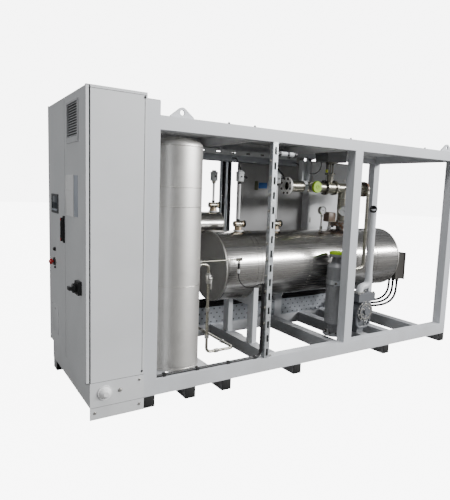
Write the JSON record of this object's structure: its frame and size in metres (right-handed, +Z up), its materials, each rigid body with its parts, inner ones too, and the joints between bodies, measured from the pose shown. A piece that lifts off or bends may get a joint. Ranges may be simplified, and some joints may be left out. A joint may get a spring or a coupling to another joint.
{
  "type": "thermal oil heater",
  "caption": "Skid-mounted electric thermal oil heater: open steel frame with control cabinet, clad heater vessel, expansion tank, strainer, pump and pipework.",
  "frame": {"origin": "middle of the bounding box at ground level", "axes": "+X along the skid from the control cabinet to the open end, +Y to the back, +Z up"},
  "size_m": [4.232, 1.28, 2.315],
  "materials": {
    "frame_grey": "satin grey paint",
    "beam_grey": "grey paint",
    "foot_black": "black end caps",
    "cabinet_grey": "light grey powder coat",
    "door_grey": "light grey powder coat",
    "white_plastic": "white",
    "galvanised": "galvanised",
    "dark_steel": "dark zinc",
    "vent_plastic": "grey",
    "black_plastic": "black",
    "panel_dark": "dark bezel",
    "red_plastic": "red",
    "satin_stainless": "satin",
    "clad_stainless": "polished cladding",
    "box_grey": "dark grey",
    "strainer_grey": "grey enamel",
    "green_plastic": "lime green",
    "pipe_stainless": "satin",
    "rusty_steel": "light rust",
    "actuator_dark": "dark grey",
    "cable_black": "black sheath",
    "pump_dark": "dark grey",
    "panel_sheet": "dark grey"
  },
  "bodies": {
    "skid": {"bottom_rails": "frame_grey", "cross_beams": "beam_grey", "feet": "foot_black", "posts": "frame_grey", "top_rails": "frame_grey", "top_cross_rails": "frame_grey", "lifting_lugs": "frame_grey", "plinth": "cabinet_grey", "cable_entry": "white_plastic", "cabinet_side_panels": "cabinet_grey", "cabinet_back_panel": "cabinet_grey", "cabinet_roof_and_floor": "cabinet_grey", "mounting_plate": "galvanised", "door_pivots": "dark_steel", "tank_base": "satin_stainless", "tank_shell": "satin_stainless", "tank_top": "satin_stainless", "heater_shell": "clad_stainless", "heater_ends": "clad_stainless", "vessel_supports": "beam_grey", "terminal_box": "box_grey", "drum_shell": "clad_stainless", "drum_ends": "clad_stainless", "strut_channels": "galvanised", "cable_trays": "galvanised", "strainer_body": "strainer_grey", "strainer_flanges": "strainer_grey", "strainer_strap": "galvanised", "main_pipe": "pipe_stainless", "pipe_flanges": "rusty_steel", "heater_nozzle": "rusty_steel", "shipping_caps": "green_plastic", "control_valve": "pipe_stainless", "valve_actuator": "actuator_dark", "gauges": "pipe_stainless", "pump": "pump_dark", "suction_pipe": "frame_grey", "small_pipes": "pipe_stainless", "level_probe": "pipe_stainless", "instrument_columns": "pipe_stainless", "rear_panel": "panel_sheet", "rear_box": "cabinet_grey", "rail_conduit": "black_plastic", "heater_cable_front": "cable_black", "heater_cable_middle": "cable_black", "heater_cable_rear": "cable_black", "probe_lead": "cable_black", "column_lead_left": "cable_black", "column_lead_right": "cable_black", "actuator_lead": "cable_black"},
    "front_door": {"door_front_leaf": "door_grey", "vent_grille": "vent_plastic", "document_sleeve": "white_plastic", "switch_base": "black_plastic"},
    "rear_door": {"door_rear_leaf": "door_grey", "operator_panel": "panel_dark", "door_fittings": "black_plastic"},
    "main_switch": {"switch_knob": "black_plastic"},
    "door_handle": {"handle_lever": "black_plastic"},
    "emergency_stop": {"stop_button": "red_plastic"}
  },
  "joints": [
    {"name": "front_door_hinge", "type": "hinge", "parent": "skid", "child": "front_door", "pos_m": [-2.026, -0.59, 1.295], "axis": [0, 0, 1], "range_deg": [0, 120]},
    {"name": "rear_door_hinge", "type": "hinge", "parent": "skid", "child": "rear_door", "pos_m": [-2.026, 0.59, 1.295], "axis": [0, 0, -1], "range_deg": [0, 120]},
    {"name": "main_switch_turn", "type": "hinge", "parent": "front_door", "child": "main_switch", "pos_m": [-2.074, -0.442, 0.937], "axis": [-1, 0, 0], "range_deg": [0, 90]},
    {"name": "door_handle_turn", "type": "hinge", "parent": "rear_door", "child": "door_handle", "pos_m": [-2.05, 0.027, 1.387], "axis": [1, 0, 0], "range_deg": [0, 90]},
    {"name": "emergency_stop_push", "type": "slide", "parent": "rear_door", "child": "emergency_stop", "axis": [1, 0, 0], "range_m": [0, 0.006]}
  ]
}
